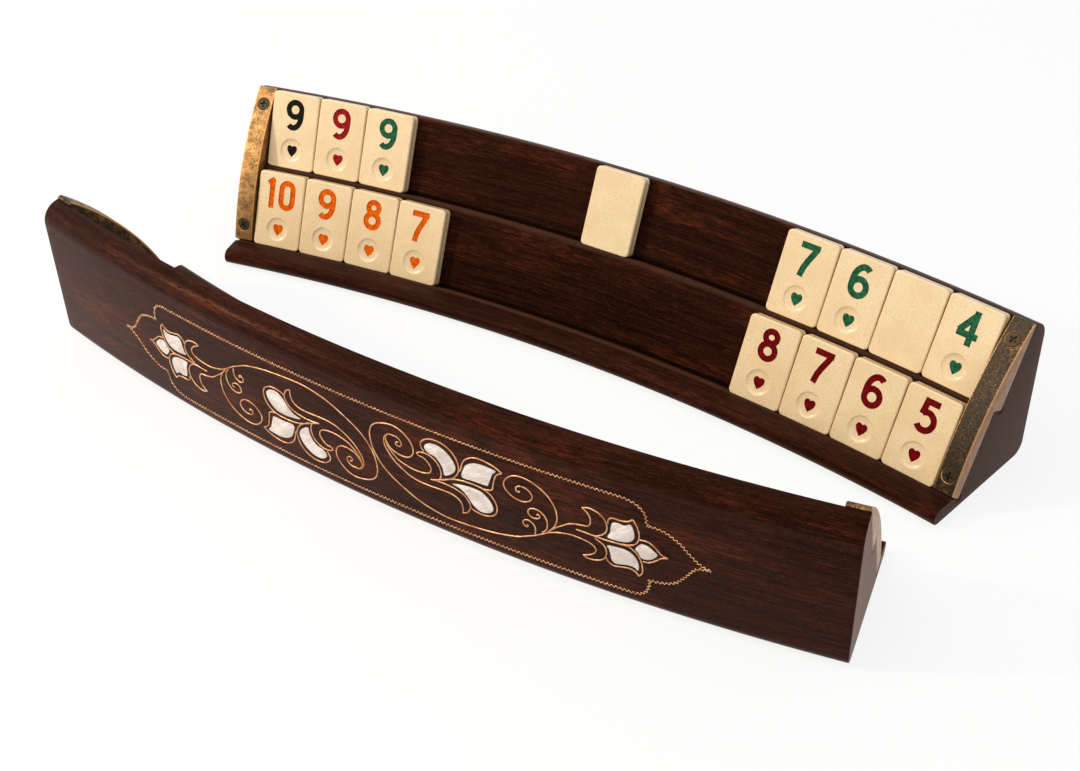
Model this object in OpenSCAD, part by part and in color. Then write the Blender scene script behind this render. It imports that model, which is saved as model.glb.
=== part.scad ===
// A pair of curved two-tier wooden tile racks for rummy, with sixteen loose tiles.
// The rear rack carries the tiles and the front rack stands empty with its inlaid back outward.
// Each rack is swept about an upright axis. In the outlines x is the distance outward from the
// inner corner of the lower ledge and y is the height above the table.

/* [Rack] */
// Radius of the inner corner of the lower ledge
rack_radius = 902; // [700:1:1200]
// Half of the angle between the two end bars
arc_half = 11.38; // [11.3:0.01:14]
// Lean of the tile slopes from upright
tilt = 26; // [20:0.5:30]
// Length of a slope from one ledge to the next
tier_pitch = 38.4; // [38:0.1:42]
// Depth of the upper ledge
tier_step = 6.3; // [6:0.1:8]
// Length of the upper slope
upper_slope = 36.5; // [34:0.5:40]
// Height of the lower ledge above the table
ledge_z = 5.2; // [4.5:0.1:7]
// Thickness of the wooden boards
board_t = 4.5; // [4:0.1:5]
// Radius of the rounded edge along the top of the back
edge_round = 9; // [8:0.5:11]
// Radius of the rounded edge along the bottom of the back
foot_round = 5.5; // [3:0.5:6]
// Reach of the front rail from the lower ledge's inner corner
rail_reach = 17.4; // [15:0.1:20]
// Radius of the front rail's nose
nose_r = 3.7; // [3:0.1:4]
// Depth of the ledge that a tile stands on
ledge_depth = 6.4; // [6:0.1:7]
// Thickness of one inner rib
rib_t = 6; // [4:0.5:8]
// Thickness of the felt pads under the base
pad_t = 0.8; // [0.5:0.1:1]
// Length of one felt pad
pad_l = 40; // [20:1:60]
// Number of staves in the lower slope
stave_count = 6; // [4:1:8]

/* [End bars] */
// Width of an end bar and of the wooden cheek under it
bar_w = 9; // [8:0.5:10]
// Rise of the end bar's bowed front over a straight line
bar_bow = 5.5; // [2:0.1:8]
// Thickness of the bar's upper end
bar_tip_t = 1.8; // [1.5:0.1:2.5]
// Height of the bar's upper end above the ridge
bar_rise = 0.8; // [0.5:0.1:1.5]
// Distance of a screw from the end of the bar
screw_inset = 8.5; // [8:0.5:12]
// Diameter of a screw's countersunk head
head_d = 6; // [5:0.1:6.5]
// Diameter of a screw's shank
screw_d = 3; // [2.5:0.1:3.2]
// Length of a screw
screw_l = 16; // [14:0.5:18]

/* [Tiles] */
// Width of a tile
tile_w = 24.7; // [24:0.1:24.7]
// Height of a tile
tile_h = 36.5; // [35:0.1:37]
// Thickness of a tile
tile_t = 5.6; // [5:0.1:5.8]
// Radius of a tile's corners
tile_corner = 2; // [1:0.1:3]
// Spacing of neighbouring tiles along a ledge
tile_pitch = 25; // [25:0.1:25.5]
// Air between a tile and the wood
tile_gap = 0.25; // [0.2:0.05:0.4]
// Diameter of the round dish under a tile's number
dish_d = 11.6; // [10:0.1:12]
// Depth of the dish
dish_depth = 0.5; // [0.3:0.1:0.8]
// Height of the dish's centre above the tile's bottom edge
dish_up = 9; // [8:0.1:10]

/* [Inlay] */
// Half of the length of the inlaid panel between its points
panel_half = 145; // [130:1:150]
// Half of the height of the inlaid panel
panel_rise = 22.5; // [20:0.5:24]
// Height of the panel's middle above the table
panel_z = 31.5; // [30:0.5:33]
// Distance of the panel's shoulders from its middle
shoulder = 119; // [110:1:125]
// Width of the inlaid wire
wire_w = 0.8; // [0.6:0.1:1.2]
// Thickness of the inlay on the wood
inlay_t = 0.25; // [0.2:0.05:0.4]

/* [Pair] */
// Distance between the backs of the two racks
back_to_back = 187.2; // [170:0.1:260]
// Sideways shift of the front rack
front_shift = -12; // [-20:0.5:20]
// Turn of the front rack
front_yaw = 0.8; // [0:0.1:2]

/* [Hidden] */

// Fineness of the curves
sweep_fn = 1080;
round_fn = 48;
// Directions in the outlines: up the slope, and square to it into the wood
up = [sin(tilt), cos(tilt)];
in = [cos(tilt), -sin(tilt)];
// Corners of the tile side, from the lower ledge to the ridge
A = [0, ledge_z];
B = A + up * tier_pitch;
C = B + in * tier_step;
D = C + up * upper_slope;
lip = A - in * ledge_depth;
// The back face, the hollow's inner face and the rounded edge
back_x = D[0] + edge_round;
hollow_x = back_x - board_t;
round_c = [D[0], D[1] - edge_round];
// Corners of the boards inside the rack
lower_foot = [board_t / cos(tilt), ledge_z];
lower_head = B - up * board_t;
lower_head_in = lower_head + in * board_t;
ledge_in = C + in * board_t - up * board_t;
upper_head_in = D + in * board_t;
head_block = upper_head_in - up * 14;
head_block_back = [hollow_x, head_block[1] - 4];
// The front rail's nose
nose_c = [nose_r - rail_reach, pad_t + nose_r];
// The bar's bowed front is an arc from the lip to just above the ridge
bar_top = D - in * bar_tip_t + up * bar_rise;
bar_chord = norm(bar_top - lip);
bar_dir = (bar_top - lip) / bar_chord;
bar_out = [-bar_dir[1], bar_dir[0]];
bar_r = (pow(bar_chord / 2, 2) + pow(bar_bow, 2)) / (2 * bar_bow);
bar_c = (lip + bar_top) / 2 - bar_out * (bar_r - bar_bow);
// Angles along the rack
bar_angle = bar_w / rack_radius * 180 / PI;
end_half = arc_half + bar_angle;
bar_mid = arc_half + bar_angle / 2;
rib_angle = rib_t / rack_radius * 180 / PI;
pad_angle = pad_l / rack_radius * 180 / PI;
stave_angle = 2 * arc_half / stave_count;
// Glue line between two staves, as an angle
glue_angle = 0.006;
lower_front_r = rack_radius - tile_t * cos(tilt);
upper_front_r = lower_front_r + C[0];
lower_step = 2 * atan(tile_pitch / 2 / lower_front_r);
upper_step = 2 * atan(tile_pitch / 2 / upper_front_r);
// Air between the last tile and the bar, as an angle
end_air = 0.04;
// Screw head cone and the holes round the shank
head_h = 1.6;
bore_air = 0.1;
recess_w = 0.9;
recess_depth = 1;
// Places of the two racks: the origin is under the middle of the pair's bounding box
back_r = rack_radius + back_x;
front_axis_x = front_shift + back_r * sin(front_yaw);
rear_reach = back_r * sin(end_half);
front_reach = back_r * sin(end_half + front_yaw) - front_axis_x;
rear_x = (front_reach - rear_reach) / 2;
rear_y = back_to_back / 2 - back_r;
front_y = -back_to_back / 2 + back_r * cos(front_yaw);

// Sweep an outline about the rack's axis, from one angle to another, clockwise from +Y
module sweep(from, to) {
    rotate([0, 0, 90 - to])
        rotate_extrude(angle = to - from, $fn = sweep_fn)
            translate([rack_radius, 0]) children();
}

// The front rail in section: a rounded nose and the ledge that leans back to the slope
module rail_outline() {
    translate(nose_c) circle(nose_r, $fn = round_fn);
    polygon([[nose_c[0], pad_t], [0, pad_t], A, lip, [nose_c[0], pad_t + 2 * nose_r]]);
}

// What the rounded bottom edge of the back takes off a section
module foot_corner() {
    difference() {
        translate([back_x - foot_round, pad_t - 1]) square(foot_round + 2);
        translate([back_x - foot_round, pad_t + foot_round])
            circle(foot_round, $fn = round_fn * 2);
        translate([back_x - foot_round, pad_t + foot_round]) square(foot_round + 2);
    }
}

// The whole rack in section, as its end face shows it
module rack_outline() {
    rail_outline();
    translate(round_c) intersection() {
        circle(edge_round, $fn = round_fn * 2);
        square(edge_round);
    }
    difference() {
        polygon([[0, pad_t], [back_x, pad_t], [back_x, round_c[1]], round_c, D, C, B, A]);
        foot_corner();
    }
}

// The back panel in section, with the solid head under the rounded edge
module back_outline() {
    intersection() {
        polygon([D, [back_x, D[1]], [back_x, pad_t], [hollow_x, pad_t], head_block_back,
            head_block, upper_head_in]);
        union() {
            translate(round_c) circle(edge_round, $fn = round_fn * 2);
            difference() {
                translate([round_c[0] - edge_round, 0]) square([2 * edge_round, round_c[1]]);
                foot_corner();
            }
        }
    }
}

// An end bar in section: its underside is stepped to fit both tiers and its front is bowed
module bar_outline() {
    far = 30;
    intersection() {
        translate(bar_c) circle(bar_r, $fn = sweep_fn);
        polygon([lip, A, B, C, D, D + up * bar_rise, bar_top, bar_top + bar_out * far,
            lip + bar_out * far]);
    }
}

// Place something drawn along +Z on the bar's front, pointing into the wood
module at_screw(angle, along) {
    half = bar_chord / 2;
    rise = sqrt(pow(bar_r, 2) - pow(along - half, 2)) - (bar_r - bar_bow);
    spot = lip + bar_dir * along + bar_out * rise;
    inward = (bar_c - spot) / norm(bar_c - spot);
    rotate([0, 0, -angle])
        translate([0, rack_radius + spot[0], spot[1]])
            rotate([atan2(-inward[0], inward[1]), 0, 0]) children();
}

// Both screw places of one bar
module at_screws(angle) {
    for (along = [screw_inset, bar_chord - screw_inset]) at_screw(angle, along) children();
}

// The hole for a screw: a countersink and a straight bore
module screw_hole() {
    translate([0, 0, -1]) cylinder(d = head_d + 2 * bore_air, h = 1.2, $fn = round_fn);
    translate([0, 0, 0.2])
        cylinder(d1 = head_d + 2 * bore_air, d2 = screw_d + 2 * bore_air, h = head_h, $fn = round_fn);
    cylinder(d = screw_d + 2 * bore_air, h = screw_l + 0.5, $fn = round_fn);
}

// A countersunk wood screw with a cross recess
module screw() {
    difference() {
        union() {
            translate([0, 0, 0.2]) cylinder(d1 = head_d, d2 = screw_d, h = head_h, $fn = round_fn);
            cylinder(d = screw_d, h = screw_l - 3, $fn = round_fn);
            translate([0, 0, screw_l - 3]) cylinder(d1 = screw_d, d2 = 0.6, h = 3, $fn = round_fn);
        }
        for (turn = [0, 90]) rotate([0, 0, turn])
            translate([-head_d / 3, -recess_w / 2, -0.1])
                cube([head_d * 2 / 3, recess_w, recess_depth]);
    }
}

module front_rail() {
    color("#2a1712") sweep(-arc_half, arc_half) rail_outline();
}

// The lower slope is glued up end to end from short staves
module lower_tier() {
    color("#331c15") for (i = [0 : stave_count - 1])
        sweep(-arc_half + i * stave_angle + glue_angle, -arc_half + (i + 1) * stave_angle)
            polygon([A, lower_head, lower_head_in, lower_foot]);
}

module upper_tier() {
    color("#331c15") sweep(-arc_half, arc_half)
        polygon([B, C, D, upper_head_in, ledge_in, lower_head]);
}

module back_panel() {
    color("#2e1913") sweep(-arc_half, arc_half) back_outline();
}

module base_board() {
    color("#4a3326") sweep(-arc_half, arc_half) difference() {
        polygon([[0, pad_t], [hollow_x, pad_t], [hollow_x, ledge_z], [0, ledge_z]]);
        foot_corner();
    }
}

// Three ribs stand in the hollow between the tiers and the back
module ribs() {
    color("#8a6a4a") for (at = [-arc_half / 2, 0, arc_half / 2])
        sweep(at - rib_angle / 2, at + rib_angle / 2)
            polygon([lower_foot, lower_head_in, ledge_in, head_block, head_block_back,
                [hollow_x, ledge_z]]);
}

// A cheek closes one end of the rack: side is 1 at the player's right and -1 at the left
module cheek(side) {
    from = side > 0 ? arc_half : -end_half;
    color("#3a2a22") difference() {
        sweep(from, from + bar_angle) rack_outline();
        at_screws(side * bar_mid) screw_hole();
    }
}

module bar(side) {
    from = side > 0 ? arc_half : -end_half;
    color("#8c7440") difference() {
        sweep(from, from + bar_angle) bar_outline();
        at_screws(side * bar_mid) screw_hole();
    }
}

module bar_screws() {
    color("#3b352c") for (side = [-1, 1]) at_screws(side * bar_mid) screw();
}

module felt_pads() {
    reach = hollow_x - 2;
    color("#1d1d1b") for (at = [-arc_half + pad_angle, 0, arc_half - pad_angle])
        sweep(at - pad_angle / 2, at + pad_angle / 2)
            polygon([[-6, 0], [reach, 0], [reach, pad_t], [-6, pad_t]]);
}

// Press a flat drawing, x along the back and y up, onto the rack's back face
module on_back() {
    intersection() {
        sweep(-arc_half, arc_half)
            polygon([[back_x, pad_t + 2], [back_x + inlay_t, pad_t + 2],
                [back_x + inlay_t, round_c[1]], [back_x, round_c[1]]]);
        translate([0, rack_radius + back_x + 10, panel_z])
            rotate([90, 0, 0]) linear_extrude(height = 60) children();
    }
}

// The panel's outline: straight sides, a round lobe at each shoulder and pointed ends
module panel_outline(inset) {
    rise = panel_rise - inset;
    tip = panel_half - inset * 1.6;
    lobe = 4 - inset;
    polygon([[-shoulder, -rise], [shoulder, -rise], [shoulder + 8, -rise + 9], [tip, 0],
        [shoulder + 8, rise - 9], [shoulder, rise], [-shoulder, rise], [-shoulder - 8, rise - 9],
        [-tip, 0], [-shoulder - 8, -rise + 9]]);
    for (x = [-shoulder, shoulder], y = [-1, 1])
        translate([x, y * (panel_rise - 3)]) circle(lobe, $fn = round_fn);
}

// A loop of wire that ends a tendril
module wire_ring(x, y, r) {
    translate([x, y]) difference() {
        circle(r, $fn = round_fn);
        circle(r - wire_w, $fn = round_fn);
    }
}

module wire_inlay() {
    color("#c98850") on_back() {
        difference() {
            panel_outline(0);
            panel_outline(wire_w);
        }
        for (turn = [0, 180]) rotate([0, 0, turn]) {
            wire_ring(12, 8, 7);
            wire_ring(24, -12, 4);
            wire_ring(70, 10, 6);
            wire_ring(80, -4, 4);
            wire_ring(78, 4.5, 3);
        }
    }
}

// One leaf of pearl: the overlap of two discs
module petal(l, w) {
    r = (l * l / 4 + w * w / 4) / w;
    intersection() {
        translate([l / 2, r - w / 2]) circle(r, $fn = round_fn);
        translate([l / 2, w / 2 - r]) circle(r, $fn = round_fn);
    }
}

// Each half of the panel has one large and one small flower of three leaves
module pearl_inlay() {
    color("#ece6da") on_back() for (turn = [0, 180]) rotate([0, 0, turn]) {
        for (lean = [-52, 0, 52]) translate([-47, -3]) rotate([0, 0, lean + 20])
            translate([3, 0]) petal(15, 7);
        for (lean = [-60, 0, 60]) translate([-109, 0]) rotate([0, 0, lean + 180])
            translate([2, 0]) petal(11, 6);
    }
}

// A tile stands upright here with its face to -Y, before it is leaned onto a slope
module tile_blank() {
    rotate([90, 0, 0]) linear_extrude(height = tile_t) union() {
        translate([-tile_w / 2 + tile_corner, 0])
            square([tile_w - 2 * tile_corner, tile_h]);
        translate([-tile_w / 2, tile_corner])
            square([tile_w, tile_h - 2 * tile_corner]);
        for (x = [-1, 1], y = [tile_corner, tile_h - tile_corner])
            translate([x * (tile_w / 2 - tile_corner), y])
                circle(tile_corner, $fn = round_fn);
    }
}

// A numbered tile has a shallow round dish below its number
module tile_numbered() {
    difference() {
        tile_blank();
        translate([0, -tile_t + dish_depth, dish_up])
            rotate([90, 0, 0]) cylinder(d = dish_d, h = dish_depth + 1, $fn = round_fn * 2);
    }
}

// Stand a tile on a ledge of the rear rack: its back corner is tile_gap clear of ledge and slope
module on_ledge(corner, angle) {
    foot = corner - in * tile_gap + up * tile_gap;
    rotate([0, 0, -angle])
        translate([0, rack_radius + foot[0], foot[1]])
            rotate([-tilt, 0, 0]) children();
}

// Places along the ledges, counted from the bar at the player's left or right
module lower_left(i) { on_ledge(A, -arc_half + end_air + lower_step * (i + 0.5)) children(); }
module lower_right(i) { on_ledge(A, arc_half - end_air - lower_step * (i + 0.5)) children(); }
module upper_left(i) { on_ledge(C, -arc_half + end_air + upper_step * (i + 0.5)) children(); }
module upper_right(i) { on_ledge(C, arc_half - end_air - upper_step * (i + 0.5)) children(); }

module tile_black_9() { color("#efe3c6") upper_left(0) tile_numbered(); }
module tile_red_9() { color("#efe3c6") upper_left(1) tile_numbered(); }
module tile_green_9() { color("#efe3c6") upper_left(2) tile_numbered(); }
module tile_orange_10() { color("#efe3c6") lower_left(0) tile_numbered(); }
module tile_orange_9() { color("#efe3c6") lower_left(1) tile_numbered(); }
module tile_orange_8() { color("#efe3c6") lower_left(2) tile_numbered(); }
module tile_orange_7() { color("#efe3c6") lower_left(3) tile_numbered(); }
module tile_blank_left() { color("#efe3c6") on_ledge(C, 0) tile_blank(); }
module tile_green_7() { color("#efe3c6") upper_right(3) tile_numbered(); }
module tile_green_6() { color("#efe3c6") upper_right(2) tile_numbered(); }
module tile_blank_right() { color("#efe3c6") upper_right(1) tile_blank(); }
module tile_green_4() { color("#efe3c6") upper_right(0) tile_numbered(); }
module tile_red_8() { color("#efe3c6") lower_right(3) tile_numbered(); }
module tile_red_7() { color("#efe3c6") lower_right(2) tile_numbered(); }
module tile_red_6() { color("#efe3c6") lower_right(1) tile_numbered(); }
module tile_red_5() { color("#efe3c6") lower_right(0) tile_numbered(); }

// The rear rack faces -Y and the front rack stands opposite
module rear() { translate([rear_x, rear_y, 0]) children(); }
module front() {
    translate([rear_x + front_axis_x, front_y, 0]) rotate([0, 0, 180 - front_yaw]) children();
}

rear() front_rail();  // rear_front_rail
rear() lower_tier();  // rear_lower_tier
rear() upper_tier();  // rear_upper_tier
rear() back_panel();  // rear_back_panel
rear() base_board();  // rear_base_board
rear() ribs();  // rear_ribs
rear() cheek(-1);  // rear_left_cheek
rear() cheek(1);  // rear_right_cheek
rear() bar(-1);  // rear_left_bar
rear() bar(1);  // rear_right_bar
rear() bar_screws();  // rear_bar_screws
rear() wire_inlay();  // rear_wire_inlay
rear() pearl_inlay();  // rear_pearl_inlay
rear() felt_pads();  // rear_felt_pads
front() front_rail();  // front_front_rail
front() lower_tier();  // front_lower_tier
front() upper_tier();  // front_upper_tier
front() back_panel();  // front_back_panel
front() base_board();  // front_base_board
front() ribs();  // front_ribs
front() cheek(-1);  // front_left_cheek
front() cheek(1);  // front_right_cheek
front() bar(-1);  // front_left_bar
front() bar(1);  // front_right_bar
front() bar_screws();  // front_bar_screws
front() wire_inlay();  // front_wire_inlay
front() pearl_inlay();  // front_pearl_inlay
front() felt_pads();  // front_felt_pads
rear() tile_black_9();
rear() tile_red_9();
rear() tile_green_9();
rear() tile_orange_10();
rear() tile_orange_9();
rear() tile_orange_8();
rear() tile_orange_7();
rear() tile_blank_left();
rear() tile_green_7();
rear() tile_green_6();
rear() tile_blank_right();
rear() tile_green_4();
rear() tile_red_8();
rear() tile_red_7();
rear() tile_red_6();
rear() tile_red_5();
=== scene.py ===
import math

import bmesh
import bpy
from mathutils import Matrix, Quaternion, Vector


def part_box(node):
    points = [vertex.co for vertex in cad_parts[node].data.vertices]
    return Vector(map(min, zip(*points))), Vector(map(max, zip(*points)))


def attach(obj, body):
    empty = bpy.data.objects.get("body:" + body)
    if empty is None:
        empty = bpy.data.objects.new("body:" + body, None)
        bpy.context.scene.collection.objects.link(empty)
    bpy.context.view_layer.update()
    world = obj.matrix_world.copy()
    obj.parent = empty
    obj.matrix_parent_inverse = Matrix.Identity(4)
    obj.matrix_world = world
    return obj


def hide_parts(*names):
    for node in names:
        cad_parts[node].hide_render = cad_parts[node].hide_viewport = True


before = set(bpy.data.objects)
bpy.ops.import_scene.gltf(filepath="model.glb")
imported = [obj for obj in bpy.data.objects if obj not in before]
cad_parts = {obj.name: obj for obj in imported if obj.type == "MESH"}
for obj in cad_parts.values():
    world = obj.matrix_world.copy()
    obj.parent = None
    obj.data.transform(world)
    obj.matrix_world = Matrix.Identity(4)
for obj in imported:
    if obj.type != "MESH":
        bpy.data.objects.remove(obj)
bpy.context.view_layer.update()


# ---- The photograph's view ----
# The camera stands in front of the right end and looks down on both racks, as the photograph
# does. Its place and lens were found from the tiles' corners and the racks' long edges.
def placed(name, data):
    """A new object in the scene."""
    thing = bpy.data.objects.new(name, data)
    bpy.context.scene.collection.objects.link(thing)
    return thing


camera_data = bpy.data.cameras.new("photo_view")
camera_data.sensor_width = 36
camera_data.lens = 55.087
camera_data.clip_start, camera_data.clip_end = 0.01, 30
camera = placed("photo_view", camera_data)
heading, drop, roll = (math.radians(angle) for angle in (-33.314, 38.239, -1.610))
look = Vector((math.sin(heading) * math.cos(drop), math.cos(heading) * math.cos(drop),
               -math.sin(drop)))
camera.location = (0.32187, -0.47209, 0.45304)
camera.rotation_mode = "QUATERNION"
camera.rotation_quaternion = look.to_track_quat("-Z", "Y") @ Quaternion((0, 0, 1), roll)
bpy.context.scene.camera = camera
bpy.context.scene.view_settings.view_transform = "Standard"


# ---- Table top and studio light ----
# A white table in a white room, which the camera and every mirror-like surface see as plain
# white. The table keeps a faint shadow of the racks. Four lamps give the light a direction.
class Socket:
    """One socket of a node tree. Sums on it add Math nodes, and node() adds any other node."""

    def __init__(self, tree, socket=None):
        self.tree, self.socket = tree, socket

    def node(self, kind, settings, values, output=0):
        made = self.tree.nodes.new(kind)
        for name, value in settings.items():
            setattr(made, name, value)
        for key, value in values.items():
            if isinstance(value, Socket):
                self.tree.links.new(value.socket, made.inputs[key])
            else:
                made.inputs[key].default_value = value
        return Socket(self.tree, made.outputs[output] if made.outputs else None)

    def maths(self, operation, *values):
        return self.node("ShaderNodeMath", {"operation": operation}, dict(enumerate(values)))

    def vector(self, operation, *values):
        output = "Value" if operation == "LENGTH" else 0
        return self.node("ShaderNodeVectorMath", {"operation": operation},
                         dict(enumerate(values)), output)

    def part(self, axis):
        return self.node("ShaderNodeSeparateXYZ", {}, {"Vector": self}, axis)

    def __add__(self, other): return self.maths("ADD", self, other)
    def __radd__(self, other): return self.maths("ADD", other, self)
    def __sub__(self, other): return self.maths("SUBTRACT", self, other)
    def __rsub__(self, other): return self.maths("SUBTRACT", other, self)
    def __mul__(self, other): return self.maths("MULTIPLY", self, other)
    def __rmul__(self, other): return self.maths("MULTIPLY", other, self)
    def __truediv__(self, other): return self.maths("DIVIDE", self, other)


def step_between(value, low, high):
    """0 below low, 1 above high, and smooth between."""
    return value.node("ShaderNodeMapRange", {"interpolation_type": "SMOOTHSTEP"},
                      {"Value": value, "From Min": low, "From Max": high})


def first_socket(owner):
    """A socket to build from in the emptied node tree of a world or a material."""
    owner.use_nodes = True
    owner.node_tree.nodes.clear()
    return Socket(owner.node_tree)


def object_place(start):
    return start.node("ShaderNodeTexCoord", {}, {}, "Object")


def shows(start):
    """1 for what the camera, a mirror or a window sees, 0 for what only casts light."""
    rays = [start.node("ShaderNodeLightPath", {}, {}, f"Is {kind} Ray")
            for kind in ("Camera", "Glossy", "Transmission")]
    return start.maths("MINIMUM", rays[0] + rays[1] + rays[2], 1.0)


table_keeps = 0.16      # the share of real shadow in the plain white table
fade_start, fade_end = 0.45, 1.2
room_light = 0.62
world = bpy.data.worlds.new("white_room")
bpy.context.scene.world = world
start = first_socket(world)
room = start.node("ShaderNodeBackground", {}, {
    "Color": (1, 1, 1, 1), "Strength": room_light + (1 - room_light) * shows(start)})
start.node("ShaderNodeOutputWorld", {}, {"Surface": room})

table = bpy.data.materials.new("white_table")
start = first_socket(table)
plain = start.node("ShaderNodeBsdfDiffuse", {}, {"Color": (0.9, 0.9, 0.9, 1)})
white = start.node("ShaderNodeEmission", {}, {"Color": (1, 1, 1, 1), "Strength": 1.0})
far = step_between(start.vector("LENGTH", object_place(start)), fade_start, fade_end)
top = start.node("ShaderNodeMixShader", {}, {
    0: shows(start) * (1 - table_keeps * (1 - far)), 1: plain, 2: white})
start.node("ShaderNodeOutputMaterial", {}, {"Surface": top})

bpy.ops.mesh.primitive_circle_add(vertices=64, radius=6, fill_type="NGON")
floor = bpy.context.object
floor.name = "table_top"
floor.data.materials.append(table)

light_target = Vector((0, 0, 0.03))
for name, place, size, power, colour in (
    ("overhead_softbox", (-0.35, -0.35, 1.3), 0.9, 5.6, (1, 1, 1)),
    ("left_lamp", (-1.0, -0.75, 0.75), 0.1, 11.0, (1, 0.84, 0.68)),
    ("front_softbox", (0.1, -1.3, 0.7), 0.7, 1.6, (1, 1, 1)),
    ("right_lamp", (1.2, -0.1, 0.7), 0.2, 0.7, (1, 0.92, 0.85)),
):
    lamp_data = bpy.data.lights.new(name, "AREA")
    lamp_data.shape = "SQUARE"
    lamp_data.size, lamp_data.energy, lamp_data.color = size, power, colour
    lamp = placed(name, lamp_data)
    lamp.location = place
    lamp.rotation_mode = "QUATERNION"
    lamp.rotation_quaternion = (light_target - lamp.location).to_track_quat("-Z", "Y")


# ---- Wooden boards of both racks ----
# Each rack is built of dark lacquered boards bent to one curve: a rounded rail in front, two
# slopes with a ledge between them, a back with a rounded top edge, and a solid cheek at each end.
# The boards are glued together, and the cheeks close the hollow.
ledge_radius = 902.0
lean = math.radians(26)
up_slope = Vector((math.sin(lean), math.cos(lean)))
into_wood = Vector((math.cos(lean), -math.sin(lean)))
tier_pitch, tier_step, upper_slope, ledge_depth = 38.4, 6.3, 36.5, 6.4
pad_top, board_thickness = 0.8, 4.5
lower_corner = Vector((0, 5.2))
ledge_edge = lower_corner + up_slope * tier_pitch
upper_corner = ledge_edge + into_wood * tier_step
ridge = upper_corner + up_slope * upper_slope
rail_lip = lower_corner - into_wood * ledge_depth
rail_front, rail_height = -17.4, 8.2
top_rounding, foot_rounding, rail_rounding, lip_rounding = 9.0, 5.5, 3.65, 3.6
back_out = ridge.x + top_rounding
half_arc = math.radians(11.38)
cheek_arc = 9.0 / ledge_radius
end_arc = half_arc + cheek_arc
ENDS = {"left": (-end_arc, -half_arc), "right": (half_arc, end_arc)}
back_gap, side_shift, yaw = 187.2, -12.0, math.radians(0.8)
back_radius = ledge_radius + back_out

front_axis_shift = side_shift + back_radius * math.sin(yaw)
rear_axis_x = (back_radius * (math.sin(end_arc + yaw) - math.sin(end_arc))
               - front_axis_shift) / 2
RACKS = {
    "rear": (Vector((rear_axis_x, back_gap / 2 - back_radius, 0)), 0.0),
    "front": (Vector((rear_axis_x + front_axis_shift,
                      back_radius * math.cos(yaw) - back_gap / 2, 0)), math.pi - yaw),
}


def rounded(corners, steps=5):
    """An outline from (point, radius) corners, which run anticlockwise, each made an arc."""
    outline = []
    for index, (corner, radius) in enumerate(corners):
        corner = Vector(corner)
        if radius == 0:
            outline.append(corner)
            continue
        before = (Vector(corners[index - 1][0]) - corner).normalized()
        after = (Vector(corners[(index + 1) % len(corners)][0]) - corner).normalized()
        half = math.acos(max(-1, min(1, before.dot(after)))) / 2
        centre = corner + (before + after).normalized() * radius / math.sin(half)
        first = corner + before * radius / math.tan(half) - centre
        last = corner + after * radius / math.tan(half) - centre
        turn = first.angle_signed(last)
        for step in range(steps + 1):
            spin = Matrix.Rotation(-turn * step / steps, 2)
            outline.append(centre + spin @ first)
    return outline


def node_group(name, inputs):
    """An empty geometry tree with named inputs. Returns the tree and its input sockets."""
    tree = bpy.data.node_groups.new(name, "GeometryNodeTree")
    tree.interface.new_socket("Geometry", in_out="INPUT", socket_type="NodeSocketGeometry")
    tree.interface.new_socket("Geometry", in_out="OUTPUT", socket_type="NodeSocketGeometry")
    for label, kind in inputs.items():
        tree.interface.new_socket(label, in_out="INPUT", socket_type="NodeSocket" + kind)
    entry = tree.nodes.new("NodeGroupInput")
    return tree, {socket.name: Socket(tree, socket) for socket in entry.outputs if socket.name}


def bend_to_rack(along, out, up, given):
    """A place on the straight rack, bent about the rack's upright axis."""
    angle = along / given["Ledge radius"]
    reach = given["Ledge radius"] + out
    place = along.node("ShaderNodeCombineXYZ", {}, {
        0: reach * along.maths("SINE", angle), 1: reach * along.maths("COSINE", angle), 2: up})
    turned = along.node("ShaderNodeVectorRotate", {"rotation_type": "Z_AXIS"},
                        {"Vector": place, "Angle": given["Turn"]})
    return along.vector("ADD", turned, given["Axis"])


def position_parts(start):
    place = start.node("GeometryNodeInputPosition", {}, {})
    return [place.part(axis) for axis in range(3)]


def end_tree(geometry, finish):
    """Ends a tree with plain geometry in one material."""
    plain = geometry.node("GeometryNodeRealizeInstances", {}, {"Geometry": geometry})
    plain = geometry.node("GeometryNodeSetMaterial", {}, {"Geometry": plain, "Material": finish})
    geometry.node("NodeGroupOutput", {}, {"Geometry": plain})


RACK_INPUTS = {"Ledge radius": "Float", "Turn": "Float", "Axis": "Vector", "Finish": "Material"}

swept_tree, given = node_group("bent_board", {
    "Start": "Float", "End": "Float", "Steps": "Int", **RACK_INPUTS})
start = given["Geometry"]
section = start.node("GeometryNodeMeshToCurve", {}, {"Mesh": start})
straight = start.node("GeometryNodeCurvePrimitiveLine", {}, {
    "Start": start.node("ShaderNodeCombineXYZ", {}, {0: given["Start"]}),
    "End": start.node("ShaderNodeCombineXYZ", {}, {0: given["End"]})})
straight = start.node("GeometryNodeResampleCurve", {}, {
    "Curve": straight, "Count": given["Steps"]})
board = start.node("GeometryNodeCurveToMesh", {}, {
    "Curve": straight, "Profile Curve": section, "Fill Caps": True})
along, minus_out, minus_up = position_parts(start)
board = start.node("GeometryNodeSetPosition", {}, {
    "Geometry": board, "Position": bend_to_rack(along, 0 - minus_out, 0 - minus_up, given)})
end_tree(board, given["Finish"])


def evaluated(piece):
    """The mesh that a piece has with its modifiers, which are then cleared."""
    bpy.context.view_layer.update()
    graph = bpy.context.evaluated_depsgraph_get()
    mesh = bpy.data.meshes.new_from_object(piece.evaluated_get(graph))
    piece.modifiers.clear()
    return mesh


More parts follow.
